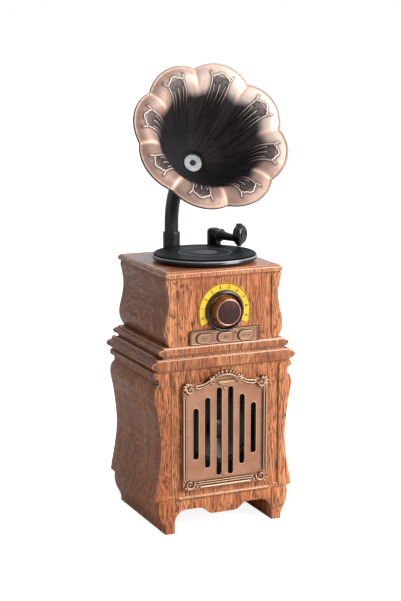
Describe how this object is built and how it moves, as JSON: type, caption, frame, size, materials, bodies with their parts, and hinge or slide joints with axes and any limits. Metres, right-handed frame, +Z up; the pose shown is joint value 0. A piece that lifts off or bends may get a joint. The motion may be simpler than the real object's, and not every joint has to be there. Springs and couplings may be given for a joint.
{
  "type": "horn loudspeaker",
  "caption": "Small table loudspeaker shaped like a pedestal gramophone: wooden cabinet with a slotted grille, dial and knob, a platter with a tonearm, and a lobed horn on a bent neck.",
  "frame": {"origin": "on the floor under the middle of the cabinet, in the plane of the skirt's bottom edge", "axes": "+Z up along the cabinet's height, the front faces -Y, +X to the right seen from the front"},
  "size_m": [0.1097, 0.1124, 0.2943],
  "materials": {
    "case_wood": "satin wood-grain film",
    "bronze_plastic": "bronze paint",
    "black_satin": "satin",
    "black_gloss": "gloss",
    "amber_gloss": "gloss amber brown",
    "dial_yellow": "printed, gloss",
    "copper_antique": "antique copper, black inside",
    "copper_dark": "brushed dark copper",
    "steel": "bright zinc",
    "steel_black": "black powder coat",
    "ferrite": "matt",
    "rubber_black": "matt",
    "cone_paper": "pressed fibre",
    "battery_wrap": "gloss sleeve",
    "board_green": "solder mask",
    "led_dark": "gloss",
    "brass": "turned"
  },
  "bodies": {
    "cabinet": {"base_skirt": "case_wood", "front_apron": "case_wood", "bottom_board": "black_satin", "bottom_screws": "steel", "lower_side_left": "case_wood", "lower_side_right": "case_wood", "lower_front_panel": "case_wood", "lower_pilasters": "case_wood", "lower_back_panel": "case_wood", "back_screws": "steel", "cornice": "case_wood", "plinth": "case_wood", "upper_side_left": "case_wood", "upper_side_right": "case_wood", "upper_front_panel": "case_wood", "upper_pilasters": "case_wood", "upper_back_panel": "case_wood", "deck": "case_wood", "grille_plaque": "bronze_plastic", "grille_frame": "bronze_plastic", "baffle_board": "black_satin", "driver_basket": "steel_black", "driver_magnet": "ferrite", "driver_surround": "rubber_black", "driver_screws": "steel", "battery": "battery_wrap", "amp_board": "board_green", "charge_socket": "steel", "aux_socket": "black_satin", "power_switch": "steel", "dial_plate": "dial_yellow", "knob_bezel": "black_gloss", "potentiometer": "steel", "button_plate": "bronze_plastic", "led_lens": "led_dark", "switch_board": "board_green", "tact_switches": "black_satin", "axle_bush": "brass", "horn_socket": "black_satin", "tonearm_base": "black_satin"},
    "knob": {"knob_skirt": "amber_gloss", "knob_cap": "copper_dark", "knob_shaft": "steel"},
    "left_button": {"button_left": "bronze_plastic"},
    "middle_button": {"button_middle": "bronze_plastic"},
    "right_button": {"button_right": "bronze_plastic"},
    "turntable": {"platter": "black_gloss", "record_disc": "black_gloss", "platter_axle": "steel", "axle_clip": "steel"},
    "horn": {"horn_neck": "black_satin", "horn_bell": "copper_antique", "horn_washer": "steel", "horn_screw": "steel"},
    "tonearm": {"tonearm_post": "black_satin", "tonearm_tube": "black_satin", "soundbox": "black_gloss"},
    "switch_slider": {"power_slider": "black_satin"},
    "cone": {"driver_cone": "cone_paper", "dust_cap": "cone_paper"}
  },
  "joints": [
    {"name": "knob_turn", "type": "hinge", "parent": "cabinet", "child": "knob", "pos_m": [0, -0.039, 0.1423], "axis": [0, -1, 0], "range_deg": [-135, 135]},
    {"name": "left_button_press", "type": "slide", "parent": "cabinet", "child": "left_button", "axis": [0, 1, 0], "range_m": [0, 0.0006], "stiffness_N_per_m": 800},
    {"name": "middle_button_press", "type": "slide", "parent": "cabinet", "child": "middle_button", "axis": [0, 1, 0], "range_m": [0, 0.0006], "stiffness_N_per_m": 800},
    {"name": "right_button_press", "type": "slide", "parent": "cabinet", "child": "right_button", "axis": [0, 1, 0], "range_m": [0, 0.0006], "stiffness_N_per_m": 800},
    {"name": "platter_spin", "type": "hinge", "parent": "cabinet", "child": "turntable", "pos_m": [0.002, -0.0045, 0.1693], "axis": [0, 0, 1], "continuous": true},
    {"name": "tonearm_swing", "type": "hinge", "parent": "cabinet", "child": "tonearm", "pos_m": [0.0242, 0.0295, 0.1735], "axis": [0, 0, 1], "range_deg": [-38, 15]},
    {"name": "horn_swivel", "type": "hinge", "parent": "cabinet", "child": "horn", "pos_m": [-0.0045, 0.035, 0.1713], "axis": [0, 0, 1], "range_deg": [-90, 90]},
    {"name": "power_slide", "type": "slide", "parent": "cabinet", "child": "switch_slider", "axis": [1, 0, 0], "range_m": [0, 0.0025]},
    {"name": "cone_travel", "type": "slide", "parent": "cabinet", "child": "cone", "axis": [0, 1, 0], "range_m": [-0.001, 0.001], "stiffness_N_per_m": 600}
  ]
}
